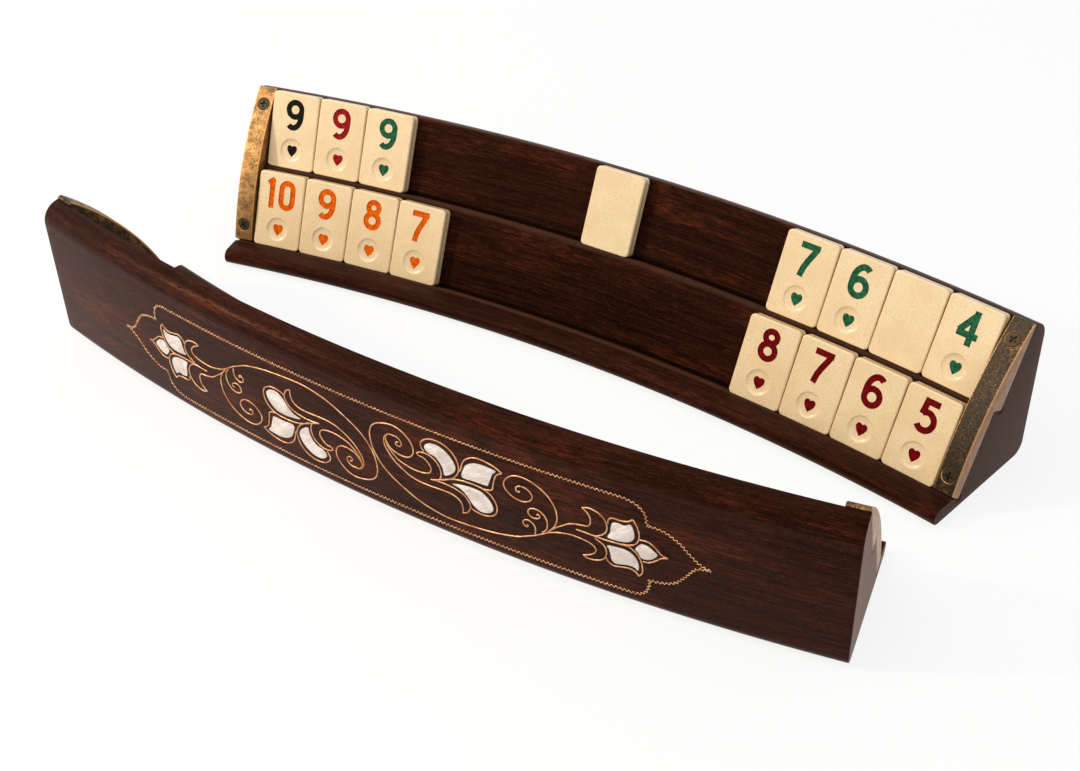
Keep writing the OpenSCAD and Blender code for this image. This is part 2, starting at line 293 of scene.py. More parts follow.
def shaped(name, mesh, tree, values):
    """Runs a node tree on a mesh and returns the plain result as a new object."""
    source = placed(name + "_source", mesh)
    modifier = source.modifiers.new("shape", "NODES")
    modifier.node_group = tree
    for item in tree.interface.items_tree:
        if item.in_out == "INPUT" and item.name in values:
            modifier[item.identifier] = values[item.name]
    result = evaluated(source)
    bpy.data.objects.remove(source)
    result.name = name
    return placed(name, result)


def rack_values(rack):
    axis, turn = RACKS[rack]
    return {"Ledge radius": ledge_radius / 1000, "Turn": turn, "Axis": axis / 1000}


def outline_mesh(name, outline):
    mesh = bpy.data.meshes.new(name)
    count = len(outline)
    mesh.from_pydata([(point.x / 1000, point.y / 1000, 0) for point in outline],
                     [(index, (index + 1) % count) for index in range(count)], [])
    return mesh


def straight_place(place, rack):
    """The angle, the reach and the height about a rack's axis of a place on its bent pieces."""
    axis, turn = RACKS[rack]
    local = Matrix.Rotation(-turn, 3, "Z") @ (place - axis / 1000)
    return math.atan2(local.x, local.y), math.hypot(local.x, local.y), local.z


def mark_grain(piece, rack, limit=40):
    """Stores on each point where it lies on the straight rack: along, outward and up."""
    mesh = piece.data
    grain = mesh.attributes.new("grain", "FLOAT_VECTOR", "POINT")
    for vertex, value in zip(mesh.vertices, grain.data):
        angle, reach, height = straight_place(vertex.co, rack)
        value.vector = (angle * ledge_radius / 1000, reach - ledge_radius / 1000, height)
    mesh.shade_smooth()
    mesh.set_sharp_from_angle(angle=math.radians(limit))


def bent_board(name, rack, outline, ends, steps, finish, bevelled=(), width=0.0):
    """A board with this outline between two angles. The rims at the angles in bevelled are
    softened."""
    first, last = ends
    piece = shaped(name, outline_mesh(name, outline), swept_tree, {
        "Start": first * ledge_radius / 1000, "End": last * ledge_radius / 1000,
        "Steps": steps, "Finish": finish, **rack_values(rack)})
    if bevelled:
        shape = bmesh.new()
        shape.from_mesh(piece.data)
        angles = {vertex: straight_place(vertex.co, rack)[0] for vertex in shape.verts}
        close = 1e-5
        rims = [edge for edge in shape.edges
                if any(all(abs(angles[vertex] - rim) < close for vertex in edge.verts)
                       for rim in bevelled)]
        bmesh.ops.bevel(shape, geom=rims, offset=width / 1000, segments=3, profile=0.6,
                        affect="EDGES", clamp_overlap=True)
        shape.to_mesh(piece.data)
        shape.free()
    mark_grain(piece, rack)
    return piece


def tint(text):
    """A colour written as six hex digits, as the linear colour that a shader wants."""
    parts = [int(text[index:index + 2], 16) / 255 for index in (0, 2, 4)]
    return (*[part / 12.92 if part <= 0.04045 else ((part + 0.055) / 1.055) ** 2.4
              for part in parts], 1)


def finish_of(name, recipe):
    """A material whose shader sockets are what recipe makes from a first socket."""
    material = bpy.data.materials.new(name)
    start = first_socket(material)
    shader = start.node("ShaderNodeBsdfPrincipled", {}, recipe(start))
    start.node("ShaderNodeOutputMaterial", {}, {"Surface": shader})
    return material


def noise(start, place, scale, detail=3.0, roughness=0.55):
    """Noise over a place stretched by three scales, one each way."""
    stretched = start.vector("MULTIPLY", place, scale)
    return start.node("ShaderNodeTexNoise", {}, {
        "Vector": stretched, "Scale": 1.0, "Detail": detail, "Roughness": roughness})


def blend_colour(factor, first, second):
    """A colour between two colours, which are tints or sockets."""
    return factor.node("ShaderNodeMix", {"data_type": "RGBA"},
                       {0: factor, 6: first, 7: second}, 2)


def bump(height, strength, distance):
    return height.node("ShaderNodeBump", {}, {
        "Height": height, "Strength": strength, "Distance": distance})


def stored(start, name):
    """A vector stored on the piece's points."""
    return start.node("ShaderNodeAttribute", {"attribute_name": name}, {}, "Vector")


def section_reach(start, grain, place):
    """How far a point's place in the rack's section is from a given place."""
    gap = start.vector("SUBTRACT", grain, (0, place.x / 1000, place.y / 1000))
    return start.vector("LENGTH", start.vector("MULTIPLY", gap, (0, 1, 1)))


def near(start, grain, place, inner, outer):
    """1 within inner metres of a place in the section, 0 past outer metres."""
    return 1 - step_between(section_reach(start, grain, place), inner, outer)


def dark_wood(name, redness, end_grain=None, sawn_tints=()):
    """Dark lacquered wood with lengthwise grain. The ledges' tops carry painted light, and their
    inner corners painted shade, near black. Past the place along in end_grain, matte end grain."""
    def recipe(start):
        grain = stored(start, "grain")
        wander = noise(start, grain, (9, 30, 30), 2.0)
        waved = start.vector("ADD", grain, start.node(
            "ShaderNodeCombineXYZ", {}, {1: (wander - 0.5) * 0.003, 2: (wander - 0.5) * 0.003}))
        streak = noise(start, waved, (26, 900, 900), 5.0, 0.7)
        broad = noise(start, waved, (7, 90, 90), 3.0)
        pores = noise(start, waved, (210, 3000, 3000), 2.0, 0.6)
        flecks = noise(start, waved, (120, 1100, 1100), 4.0, 0.75)
        patches = noise(start, grain, (24, 60, 60), 3.0, 0.7)
        colour = blend_colour(step_between(streak, 0.38, 0.64), tint("0b0302"), tint("2b130b"))
        reddish = step_between(broad * 0.5 + patches * 0.5
                               + near(start, grain, upper_foot, 0.0015, 0.005) * 0.06,
                               0.46, 0.62) * redness
        colour = blend_colour(reddish * step_between(flecks, 0.42, 0.62), colour, tint("602a17"))
        colour = blend_colour(step_between(flecks, 0.55, 0.75) * 0.5, colour, tint("52301f"))
        dust = noise(start, grain, (900, 2600, 2600), 3.0, 0.7)
        colour = blend_colour(step_between(dust, 0.52, 0.74) * 0.4, colour, tint("5c3c2d"))
        colour = blend_colour(step_between(pores, 0.5, 0.68) * 0.85, colour, tint("060202"))
        # painted shade: near black along the inner corner of each ledge
        painted_corner_shade = streak * 0
        for corner in (lower_corner, upper_corner):
            # painted light: a lighter strip along each ledge's top, where the light falls
            painted_ledge_light = near(start, grain, corner - into_wood * lit_ledge_middle, 0.0014, 0.0032)
            colour = blend_colour(painted_ledge_light * 0.45, colour, tint("4e392c"))
            painted_corner_shade = painted_corner_shade + near(start, grain, corner, 0.0013, 0.0026)
        colour = blend_colour(painted_corner_shade, colour, tint("020100"))
        height = streak * 0.6 + (1 - step_between(pores, 0.55, 0.72)) * 0.6
        gloss = 0.25 + streak * 0.14 + painted_corner_shade * 0.5
        if end_grain:
            cut = step_between(start.maths("ABSOLUTE", grain.part(0)),
                               end_grain - 0.0002, end_grain)
            speckle = noise(start, grain, (900, 1500, 900), 4.0, 0.7)
            rings = noise(start, grain, (10, 500, 160), 3.0, 0.6)
            sawn = blend_colour(speckle * 0.6 + rings * 0.4, *map(tint, sawn_tints))
            colour = blend_colour(cut, colour, sawn)
            gloss = gloss + cut * 0.15
        return {"Base Color": colour, "Roughness": gloss, "Specular IOR Level": 0.07,
                "Specular Tint": tint("ff9c66"), "Sheen Weight": 0.1, "Sheen Roughness": 0.45,
                "Sheen Tint": tint("ff9e78"), "Normal": bump(height, 0.45, 0.0002)}
    return finish_of(name, recipe)


# The second number is how far out from a ledge's inner corner the painted light on its top is
# centred.
upper_foot, lit_ledge_middle = upper_corner + up_slope * 5, 4.3
rail_wood = dark_wood("rail_wood", 0.35)
slope_wood = dark_wood("slope_wood", 0.65)
back_wood = dark_wood("back_wood", 0.6)
# The front rack's end grain gets lighter colours than the rear's: painted light, for the light
# that falls on the front rack's cheeks.
cheek_wood_toned_by_light = {
    rack: dark_wood(rack + "_cheek_wood_toned_by_light", 0.5, end_arc * ledge_radius / 1000, sawn)
    for rack, sawn in (("rear", ("1c130e", "3d2e25")), ("front", ("4a3a30", "7c6759")))}

seam = 1.2      # each slope stops this far short of its top edge, which the next board forms
hidden_step = into_wood * board_thickness
tier_end, ridge_end = ledge_edge - up_slope * seam, ridge - up_slope * seam
back_depth, back_taper = 14, 4
back_turn = ridge - up_slope * back_depth + hidden_step
foot_steps = 8
foot_first = math.acos(1 - board_thickness / foot_rounding)
foot_turns = [foot_first * (1 - step / foot_steps) for step in range(foot_steps + 1)]
rail_corner = ((rail_front, pad_top), rail_rounding)
lip_corner = ((rail_front, rail_height), lip_rounding)
BOARDS = {
    "front_rail": (rail_wood, rounded([
        rail_corner, ((0, pad_top), 0), (lower_corner, 0), (rail_lip, 0.7), lip_corner], 7)),
    "lower_tier": (slope_wood, rounded([
        (lower_corner, 0), ((board_thickness / math.cos(lean), lower_corner.y), 0),
        (tier_end + hidden_step, 0), (tier_end, 0)])),
    "upper_tier": (slope_wood, rounded([
        (ledge_edge, 0.9), (tier_end, 0), (tier_end + hidden_step, 0),
        (ledge_edge - up_slope * board_thickness + hidden_step, 0),
        (upper_corner + hidden_step - up_slope * board_thickness, 0),
        (ridge_end + hidden_step, 0), (ridge_end, 0), (upper_corner, 0)])),
    "back_panel": (back_wood, rounded([
        (ridge, 0.8), (ridge_end, 0), (ridge_end + hidden_step, 0), (back_turn, 0),
        ((back_out - board_thickness, back_turn.y - back_taper), 0),
        *[((back_out - foot_rounding * (1 - math.cos(turn)),
            pad_top + foot_rounding * (1 - math.sin(turn))), 0) for turn in foot_turns],
        ((back_out, ridge.y), top_rounding)], 10)),
}
cheek_outline = rounded([
    rail_corner, ((back_out, pad_top), foot_rounding),
    ((back_out, ridge.y), top_rounding), (ridge, 0), (upper_corner, 0), (ledge_edge, 0),
    (lower_corner, 0), (rail_lip, 0.6), lip_corner], 9)

for rack in RACKS:
    for part, (finish, outline) in BOARDS.items():
        piece = bent_board(f"{rack}_{part}_board", rack, outline, (-half_arc, half_arc), 97,
                           finish)
        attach(piece, rack + "_rack")
        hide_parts(f"{rack}_{part}")
    for side, ends in ENDS.items():
        rim = max(ends, key=abs)
        piece = bent_board(f"{rack}_{side}_cheek_block", rack, cheek_outline, ends, 3,
                           cheek_wood_toned_by_light[rack], (rim,), 0.45)
        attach(piece, rack + "_rack")
        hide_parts(f"{rack}_{side}_cheek")


# ---- Base boards, ribs and felt pads ----
# The base boards and the ribs inside are plain unlacquered wood, glued in and hardly ever seen.
# Three thin black felt pads are stuck under each rack.
def plain_wood(name, deep, main):
    def recipe(start):
        place = object_place(start)
        fibre = noise(start, place, (20, 500, 500), 4.0)
        broad = noise(start, place, (6, 80, 80), 2.0)
        colour = blend_colour(fibre * 0.6 + broad * 0.4, deep, main)
        return {"Base Color": colour, "Roughness": 0.6 + fibre * 0.2,
                "Normal": bump(fibre, 0.4, 0.0003)}
    return finish_of(name, recipe)


def speckled(name, fineness, detail, colours, gloss, relief, metallic=0.0):
    """A finish with fine specks. gloss is its roughness and how much the specks add, and relief
    is the strength and depth of its bumps."""
    def recipe(start):
        specks = noise(start, object_place(start), (fineness, fineness, fineness), *detail)
        return {"Base Color": blend_colour(specks, *map(tint, colours)), "Metallic": metallic,
                "Roughness": gloss[0] + specks * gloss[1], "Normal": bump(specks, *relief)}
    return finish_of(name, recipe)


base_wood = plain_wood("base_wood", tint("33221a"), tint("5c4232"))
rib_wood = plain_wood("rib_wood", tint("6e5138"), tint("a3805a"))
felt_finish = speckled("black_felt", 1800, (4.0, 0.7), ("101010", "34332f"), (0.9, 0.1),
                       (0.8, 0.0004))
for rack in RACKS:
    for part, finish in (("base_board", base_wood), ("ribs", rib_wood),
                         ("felt_pads", felt_finish)):
        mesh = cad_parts[f"{rack}_{part}"].data
        mesh.materials.clear()
        mesh.materials.append(finish)


# ---- Brass end bars ----
# A cast brass bar with a bowed front closes each end of the two slopes. Its underside is stepped
# to lie on them, its face has a mottled dark patina, and its edges are worn bright. Two
# countersunk screws hold it to the cheek.
bar_bow, bar_tip, bar_rise, screw_inset = 5.5, 1.8, 0.8, 8.5
bar_top = ridge - into_wood * bar_tip + up_slope * bar_rise
bar_length = (bar_top - rail_lip).length
bar_way = (bar_top - rail_lip) / bar_length
bar_out = Vector((-bar_way.y, bar_way.x))
bow_radius = ((bar_length / 2) ** 2 + bar_bow ** 2) / (2 * bar_bow)
bow_centre = (rail_lip + bar_top) / 2 - bar_out * (bow_radius - bar_bow)


def on_bow(along):
    """A point on the bar's bowed front, and the direction from it into the wood."""
    rise = math.sqrt(bow_radius ** 2 - (along - bar_length / 2) ** 2) - (bow_radius - bar_bow)
    spot = rail_lip + bar_way * along + bar_out * rise
    return spot, (bow_centre - spot).normalized()


bow_first, bow_steps = 1.3, 28
bow_step = (bar_length - 1.6) / bow_steps
bar_outline = [on_bow(bow_first + bow_step * step)[0] for step in range(bow_steps, -1, -1)]
bar_outline += [rail_lip + into_wood * 4.2, lower_corner, ledge_edge, upper_corner, ridge,
                ridge + up_slope * bar_rise, bar_top + into_wood * 0.5]
bar_middle = (half_arc + cheek_arc / 2) * ledge_radius / 1000


def brass(name, wear_and_reflection):
    """Antique brass: the second argument is how much bright metal shows through the patina, which
    stands for real wear and, bar by bar, painted reflection. The edges of the front and the outer
    side are worn bright."""
    def recipe(start):
        grain = stored(start, "grain")
        outside = start.maths("ABSOLUTE", grain.part(0)) - bar_middle
        depth = bow_radius / 1000 - section_reach(start, grain, bow_centre)
        patches = noise(start, grain, (260, 260, 260), 4.0, 0.6)
        speckle = noise(start, grain, (1500, 1500, 1500), 4.0, 0.65)
        edge = (step_between(start.maths("ABSOLUTE", outside) + speckle * 0.0007, 0.0043, 0.0048)
                * (1 - step_between(depth, 0.0004, 0.001)))
        outer = step_between(outside, 0.0042, 0.0045)
        worn = step_between(patches * 0.6 + speckle * 0.4, 0.56 - wear_and_reflection * 0.3, 0.96 - wear_and_reflection * 0.2)
        bright = start.maths("MINIMUM", worn + edge + outer * (0.25 + patches * 0.7), 1.0)
        patina = blend_colour(step_between(speckle, 0.35, 0.7), tint("1b1207"), tint("4e3a1e"))
        metal = blend_colour(outer, tint("cd9a5b"), tint("a87a58"))
        return {"Base Color": blend_colour(bright, patina, metal),
                "Metallic": 0.55 + bright * 0.35, "Roughness": 0.5 - bright * 0.14,
                "Normal": bump(patches * 0.4 + speckle, 0.6, 0.0002)}
    return finish_of(name, recipe)


def cut_away(piece, cutters, self_crossing=False):
    """Takes the cutters' solids off a piece, which keeps their material in the cuts."""
    for cutter in cutters:
        modifier = piece.modifiers.new("cut", "BOOLEAN")
        modifier.object, modifier.operation, modifier.solver = cutter, "DIFFERENCE", "EXACT"
        modifier.material_mode, modifier.use_self = "TRANSFER", self_crossing
    piece.data = evaluated(piece)
    for cutter in cutters:
        bpy.data.objects.remove(cutter)


def skin(shape, rings):
    """Faces between rings of points, which run anticlockwise seen from the last ring's side. An
    open end gets a flat cap, and a ring of one point is a tip."""
    for lower, upper in zip(rings, rings[1:]):
        count = max(len(lower), len(upper))
        for index in range(count):
            after = (index + 1) % count
            corners = (lower[index % len(lower)], lower[after % len(lower)],
                       upper[after % len(upper)], upper[index % len(upper)])
            shape.faces.new(list(dict.fromkeys(corners)))
    for ring in (rings[0][::-1], rings[-1]):
        if len(ring) > 1:
            shape.faces.new(ring)


def solid(name, shape, finish=None):
    """The object of a finished shape."""
    bmesh.ops.recalc_face_normals(shape, faces=shape.faces)
    mesh = bpy.data.meshes.new(name)
    shape.to_mesh(mesh)
    shape.free()
    if finish:
        mesh.materials.append(finish)
    return placed(name, mesh)


def turned_solid(name, profile, sides, finish=None):
    """A solid turned about Z from (radius, height) points, from its lower end to its upper end."""
    shape = bmesh.new()
    rings = []
    for radius, height in profile:
        turns = [math.tau * side / sides for side in range(sides if radius else 1)]
        rings.append([shape.verts.new((radius / 1000 * math.cos(turn),
                                       radius / 1000 * math.sin(turn), height / 1000))
                      for turn in turns])
    skin(shape, rings)
    return solid(name, shape, finish)


def screw_places(rack, side):
    """Where both screws of a bar go: matrices whose +Z points into the wood."""
    axis, turn = RACKS[rack]
    angle = (half_arc + cheek_arc / 2) * (1 if side == "right" else -1)
    places = []
    for distance in (screw_inset, bar_length - screw_inset):
        spot, inward = on_bow(distance)
        straight = Matrix.Translation((0, (ledge_radius + spot.x) / 1000, spot.y / 1000))
        facing = Matrix.Rotation(math.atan2(-inward.x, inward.y), 4, "X")
        places.append(Matrix.Translation(axis / 1000) @ Matrix.Rotation(turn - angle, 4, "Z")
                      @ straight @ facing)
    return places


rubbed_brass = brass("rubbed_brass", 1.6)
# Each bar's share of bright metal differs: partly wear, and partly painted reflection, brighter on
# the bars that catch bright reflections at their angle and darker on the others.
for rack, side, wear_and_reflection in (("rear", "left", 1.0), ("rear", "right", 0.15),
                         ("front", "left", 0.6), ("front", "right", 0.4)):
    finish = brass(f"{rack}_{side}_brass", wear_and_reflection)
    piece = bent_board(f"{rack}_{side}_bar_casting", rack, bar_outline, ENDS[side], 5, finish,
                       ENDS[side], 0.4)
    cutters = []
    for place in screw_places(rack, side):
        sink = turned_solid("countersink", [
            (0, -1.0), (3.35, -1.0), (3.35, 0.0), (1.6, 1.95), (1.6, 4.0), (0, 4.0)], 40,
            rubbed_brass)
        sink.data.transform(place)
        cutters.append(sink)
    cut_away(piece, cutters)
    piece.data.attributes.remove(piece.data.attributes["grain"])
    mark_grain(piece, rack, 30)
    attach(piece, rack + "_rack")
    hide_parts(f"{rack}_{side}_bar")


# ---- Bar screws ----
# Dark countersunk wood screws with a cross recess, two through each bar into the cheek. Each
# one stopped at its own angle when it was driven.
screw_finish = speckled("dark_screw_steel", 900, (4.0, 0.6), ("1f1a14", "5b4b36"), (0.4, 0.25),
                        (0.3, 0.0002), 0.85)
screw_tree, given = node_group("driven_screws", {"Screw": "Object", "Finish": "Material"})
start = given["Geometry"]
screw_mesh = start.node("GeometryNodeObjectInfo", {"transform_space": "ORIGINAL"},
                        {"Object": given["Screw"]}, "Geometry")
facing = start.node("GeometryNodeInputNamedAttribute", {"data_type": "FLOAT_VECTOR"},
                    {"Name": "inward"})
spin = start.node("FunctionNodeRandomValue", {"data_type": "FLOAT"},
                  {"Min": 0.0, "Max": math.pi / 2, "Seed": 4}, 1)
aim = start.node("FunctionNodeAlignRotationToVector", {"axis": "Z"}, {"Vector": facing})
twist = start.node("FunctionNodeAxisAngleToRotation", {}, {"Axis": (0, 0, 1), "Angle": spin})
aim = start.node("FunctionNodeRotateRotation", {"rotation_space": "LOCAL"},
                 {"Rotation": aim, "Rotate By": twist})
driven = start.node("GeometryNodeInstanceOnPoints", {}, {
    "Points": start.node("GeometryNodeMeshToPoints", {}, {"Mesh": start}),
    "Instance": screw_mesh, "Rotation": aim})
end_tree(driven, given["Finish"])

screw_model = turned_solid("screw_model", [
    (0, 0.05), (2.8, 0.15), (2.95, 0.3), (1.45, 1.75), (1.45, 2.6), (0.5, 3.4), (0, 3.4)], 28)
recess = Matrix.Diagonal((0.0036, 0.0008, 0.0022, 1))
slots = []
for turn in (0, 90):
    shape = bmesh.new()
    bmesh.ops.create_cube(shape, size=1)
    bmesh.ops.bevel(shape, geom=list(shape.edges), offset=0.12, segments=1, affect="EDGES")
    slots.append(solid("recess", shape))
    slots[-1].data.transform(Matrix.Rotation(math.radians(turn), 4, "Z") @ recess)
cut_away(screw_model, slots)

for rack in RACKS:
    places = screw_places(rack, "left") + screw_places(rack, "right")
    points = bpy.data.meshes.new(rack + "_screw_points")
    points.from_pydata([place.translation for place in places], [], [])
    inward = points.attributes.new("inward", "FLOAT_VECTOR", "POINT")
    for value, place in zip(inward.data, places):
        value.vector = place.to_3x3() @ Vector((0, 0, 1))
    piece = shaped(rack + "_driven_screws", points, screw_tree, {
        "Screw": screw_model, "Finish": screw_finish})
    piece.data.shade_smooth()
    piece.data.set_sharp_from_angle(angle=math.radians(35))
    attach(piece, rack + "_rack")
    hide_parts(rack + "_bar_screws")
bpy.data.objects.remove(screw_model)


# ---- Copper wire inlay ----
# The back is inlaid with copper: a fine wire bent to a zigzag frames a long pointed panel, and
# plain wire draws scrolling stems with the outlines of tulips. The wire is hammered into cuts in
# the wood and stands a little proud. One half of the panel is the other turned end for end.
panel_middle = 31.0
BORDER = [
    # frame: the long upper edge and the shoulder
    [(0, 54), (39.8, 54), (79.2, 54), (110.4, 54), (116.9, 53.7), (119.4, 52.3), (120.7, 50.7),
     (121.2, 48.7), (121.7, 46.7), (121.3, 45)],
    [(121.3, 45), (123.3, 44.8), (126.5, 44.3), (129.7, 43.3), (132, 41.9), (133.6, 40.1),
     (135.2, 38), (136.8, 35.7), (138.1, 33.7), (140, 32), (142, 31.3), (145.1, 30.9)],
    [(145.1, 30.9), (142, 30), (139.4, 28.3), (137.2, 26.3), (135.2, 24.3), (132.9, 22),
     (129.7, 20), (126.8, 18.5), (123.3, 17.9), (120.4, 18.1)],
    [(120.4, 18.1), (119.6, 16), (119.4, 14), (118.8, 12.3), (117.4, 10.7), (114.9, 9),
     (111.6, 8.2), (107.7, 7.9), (79.2, 8), (39.8, 8), (0, 8)],
]
STEMS = [
    # the long stem from the middle to the outer tulip, and the hooked leaves at its end
    [(0, 29.3), (1.3, 32.3), (4, 36.3), (8, 40), (13.3, 43.3), (19.9, 46.7), (26.6, 48.8),
     (33.8, 50), (41.8, 49.8), (49.7, 49.1), (54.3, 48.5), (59.5, 47.5), (66.1, 45.7),
     (70.6, 43.5), (74, 41.7), (76.5, 40), (78.9, 38.3), (80.8, 36), (83.1, 33.7), (85.7, 31.7),
     (88.3, 29.7), (90.9, 28.7), (93.5, 28.1), (96, 27.7), (97.2, 26.3), (97.5, 24.3), (97, 22.1),
     (95.8, 20.5), (94.1, 19.2)],
    [(94.1, 19.2), (96.7, 18.3), (99.4, 18.7), (101.6, 19.8), (103.3, 21.7), (104.1, 24),
     (104.1, 26.3), (103.3, 28.3), (101.6, 30), (99.7, 31.2)],
    [(78.9, 38.3), (82.4, 36.5), (85.7, 35.5), (88.9, 34.8), (92.2, 34.8), (95.5, 35.2), (98, 36),
     (99.5, 37.3), (99.7, 39), (98.4, 40.8), (96.5, 42.1), (94.5, 43)],
    [(94.5, 43), (96.1, 43.8), (98.7, 43.7), (101.3, 42.8), (103.3, 41), (104.1, 38.3),
     (103.7, 35.7), (102.5, 34), (100.9, 33.2), (99.2, 32.2)],
    [(113, 31), (109.1, 31.2), (103.9, 31.5), (98.7, 31.3), (94.1, 31.1), (91.6, 31.1)],
    # the outer tulip's upper, lower and middle leaf
    [(103.9, 40), (104.8, 42), (107.2, 43.2), (109.7, 42.7), (113, 42), (115.5, 42.5),
     (117.4, 44.3)],
    [(117.4, 44.3), (118.6, 42.3), (118.6, 39.3), (117.8, 36), (115.9, 33), (113, 31)],
    [(110.4, 30.9), (114, 30), (116.2, 28), (117.1, 24.7), (116.4, 20.7), (114.5, 17)],
    [(114.5, 17), (112.6, 18.7), (109.7, 19.5), (106.5, 19.5), (104.8, 20.7), (104.5, 22.7)],
    [(118.8, 36.3), (121.3, 35.9), (123.9, 33.9), (125.9, 32), (128.5, 31)],
    [(128.5, 31), (125.9, 30.1), (123.6, 27.7), (121.3, 26), (119.1, 25.7), (117.4, 26.1)],
    # three scrolls on the long stem
    [(80.8, 36), (82.8, 32.7), (83.6, 29.3), (83.2, 25.3), (81.8, 22), (79.2, 18.7), (75.2, 16),
     (70.6, 14.5), (66.1, 14.8), (62.8, 17), (61, 20.3), (61.8, 23.3), (64.7, 25.7), (68.7, 26.5),
     (71.6, 25.3), (73.2, 23), (72.6, 20.7), (70.6, 19.3), (68.1, 19.2), (66.4, 20.3), (66.4, 22),
     (67.7, 22.3), (67.9, 21.5)],
    [(77.2, 38.7), (78.9, 36.7), (79.5, 33.3), (78.5, 30.3), (76.2, 28.3), (73.6, 28.1),
     (71.6, 29.3), (71.3, 31.3), (72.6, 32.7), (74.6, 32.8), (76.2, 31.7), (75.9, 30.3),
     (75, 30.7)],
    [(74, 41), (74.3, 38.7), (73.6, 36.3), (71.3, 35), (69.4, 35.7), (68.9, 37.3), (70.3, 38.7),
     (71.3, 37.7), (70.5, 37.5)],
    # the middle scroll, and the two strands and hooked leaves that leave it
    [(0.3, 30.7), (-0.3, 28.7), (-1, 24.7), (-1, 21.3), (0, 18), (2, 15.7), (5.3, 14), (10, 12.9),
     (14, 13.5), (17.3, 15.7), (19.3, 18.3), (20.1, 21.3), (19.6, 23.7), (17.7, 26), (14.7, 26.8),
     (11.3, 26.3), (9, 25), (7.3, 22.7), (6.8, 20.7), (8.3, 18.3), (10.3, 18), (12.7, 18.1),
     (14.3, 19.7), (14.3, 21.7), (13, 22.5), (11.7, 21.9), (12, 20.6), (13, 20.5)],
    [(8.3, 18.3), (6.7, 19.7), (5.9, 22), (6.1, 24.7), (7.7, 27.7), (10, 30.7), (13.3, 33.3),
     (17.3, 35.5), (21.2, 36.5), (26.6, 36.7), (33.2, 36.3), (37.1, 36.5), (40.1, 37.7),
     (41.5, 39.7), (41.9, 42), (41.7, 44.1)],
    [(41.7, 44.1), (43.5, 43.3), (44.7, 41.7), (45.5, 39.3), (44.7, 36.7), (42.8, 34.5),
     (39.8, 33.2), (35.8, 32.5), (31.9, 32.5), (27.6, 33)],
    [(6.8, 22), (7.7, 24.7), (9.7, 27.3), (12.7, 29.7), (16.7, 31), (20.6, 31.5), (24.6, 31),
     (27.2, 29.7), (28, 27.3), (26.9, 25), (24.9, 23.3), (22.6, 23), (21.6, 22)],
    [(21.6, 22), (23.2, 21), (25.9, 20.5), (28.9, 21.3), (31.2, 23.3), (32.4, 26), (32.6, 28.7),
     (31.6, 31.3), (29.9, 32.7)],
    # the inner tulip's upper, middle and lower leaf
    [(45, 39.3), (47, 40.5), (50.4, 41.1), (53.9, 40.5), (56.6, 38.5), (57.6, 35.3), (56.9, 32),
     (54.9, 29.2), (51.6, 27.5), (47.7, 27), (42.5, 27.3), (38.5, 28.3), (34.5, 30), (31.2, 31.7),
     (27.9, 33)],
    [(52.3, 27.3), (54.3, 27), (55.8, 26), (56.3, 23.3), (56.9, 20.7), (57.9, 18), (60.5, 16)],
    [(60.5, 16), (56.9, 14), (51.6, 13), (47.7, 13.5), (44.4, 15.7), (42.8, 18.3), (41.8, 22),
     (40.8, 23.3)],
    [(33.2, 31), (36.5, 29), (39.1, 26.7), (40.8, 23.3), (40.9, 20), (39.5, 16.3), (36.5, 13.3),
     (31.9, 11.9), (27.2, 12.7), (24.2, 15.3), (23.9, 17.7), (25.2, 19.7)],
]


def smooth_path(points, steps=6, closed=False):
    """Points along a smooth curve through the given points."""
    points = [Vector(point) for point in points]
    count = len(points)
    path = []
    for index in range(count if closed else count - 1):
        if closed:
            four = [points[(index + step) % count] for step in (-1, 0, 1, 2)]
        else:
            four = [points[min(max(index + step, 0), count - 1)] for step in (-1, 0, 1, 2)]
        for step in range(steps):
            t = step / steps
            path.append(0.5 * (2 * four[1] + (four[2] - four[0]) * t
                               + (2 * four[0] - 5 * four[1] + 4 * four[2] - four[3]) * t * t
                               + (3 * four[1] - 3 * four[2] + four[3] - four[0]) * t ** 3))
    if not closed:
        path.append(points[-1])
    return path


def both_halves(paths):
    """The drawn half, and the same turned end for end about the middle of the panel."""
    for path in paths:
        yield path
        yield [Vector((-point.x, 2 * panel_middle - point.y)) for point in path]


def path_mesh(name, paths):
    """Loose lines on the straight back face: x along the rack and z up."""
    points, edges = [], []
    for path in paths:
        first = len(points)
        points += [(point.x / 1000, 0, point.y / 1000) for point in path]
        edges += [(index, index + 1) for index in range(first, len(points) - 1)]
    mesh = bpy.data.meshes.new(name)
    mesh.from_pydata(points, edges, [])
    return mesh


wire_tree, given = node_group("laid_wire", {
    "Wire radius": "Float", "Point spacing": "Float", "Zigzag": "Float", "Zigzag length": "Float",
    "Sides": "Int", "Back": "Float", **RACK_INPUTS})
start = given["Geometry"]
lines = start.node("GeometryNodeMeshToCurve", {}, {"Mesh": start})
lines = start.node("GeometryNodeResampleCurve", {"mode": "LENGTH"}, {
    "Curve": lines, "Length": given["Point spacing"]})
distance = start.node("GeometryNodeSplineParameter", {}, {}, "Length")
swing = start.maths("PINGPONG", distance, given["Zigzag length"] / 2)
swing = (swing / (given["Zigzag length"] / 4) - 1) * given["Zigzag"]
tangent = start.node("GeometryNodeInputTangent", {}, {})
sideways = start.vector("CROSS_PRODUCT", tangent, (0, 1, 0))
offset = start.vector("MULTIPLY", sideways, swing)
lines = start.node("GeometryNodeSetPosition", {}, {"Geometry": lines, "Offset": offset})
ring = start.node("GeometryNodeCurvePrimitiveCircle", {}, {
    "Resolution": given["Sides"], "Radius": given["Wire radius"]})
tube = start.node("GeometryNodeCurveToMesh", {}, {
    "Curve": lines, "Profile Curve": ring, "Fill Caps": True})
along, out, up = position_parts(start)
